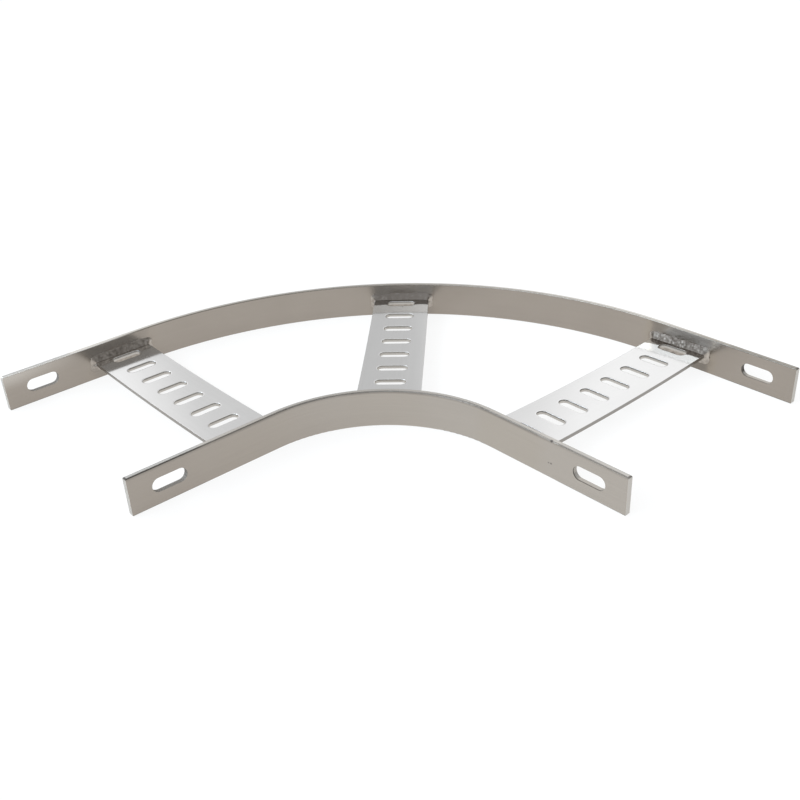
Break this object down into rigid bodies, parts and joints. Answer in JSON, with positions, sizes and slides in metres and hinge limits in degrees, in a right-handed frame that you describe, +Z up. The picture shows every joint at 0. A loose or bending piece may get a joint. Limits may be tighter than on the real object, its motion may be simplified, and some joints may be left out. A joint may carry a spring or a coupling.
{
  "type": "cable tray bend",
  "caption": "Flat right-angle bend of welded stainless steel cable ladder: curved flat-bar side rails with slotted ends, joined by slotted strip rungs that carry cables.",
  "frame": {"origin": "middle of the part's plan, on the plane of the rails' bottom edges", "axes": "+Z up; the left leg's open end faces -X and the right leg's faces -Y, so the outside of the bend is towards +X and +Y"},
  "size_m": [0.438, 0.438, 0.03],
  "materials": {
    "rail_steel": "stainless steel flat bar, rolled and pickled, satin",
    "rung_steel": "stainless steel strip, cold rolled, smooth and bright",
    "weld_metal": "stainless steel weld metal, as laid, rippled"
  },
  "bodies": {
    "root": {"outer_rail": "rail_steel", "inner_rail": "rail_steel", "rung_left": "rung_steel", "rung_middle": "rung_steel", "rung_right": "rung_steel", "weld_left_outer": "weld_metal", "weld_left_inner": "weld_metal", "weld_middle_outer": "weld_metal", "weld_middle_inner": "weld_metal", "weld_right_outer": "weld_metal", "weld_right_inner": "weld_metal"}
  },
  "joints": []
}
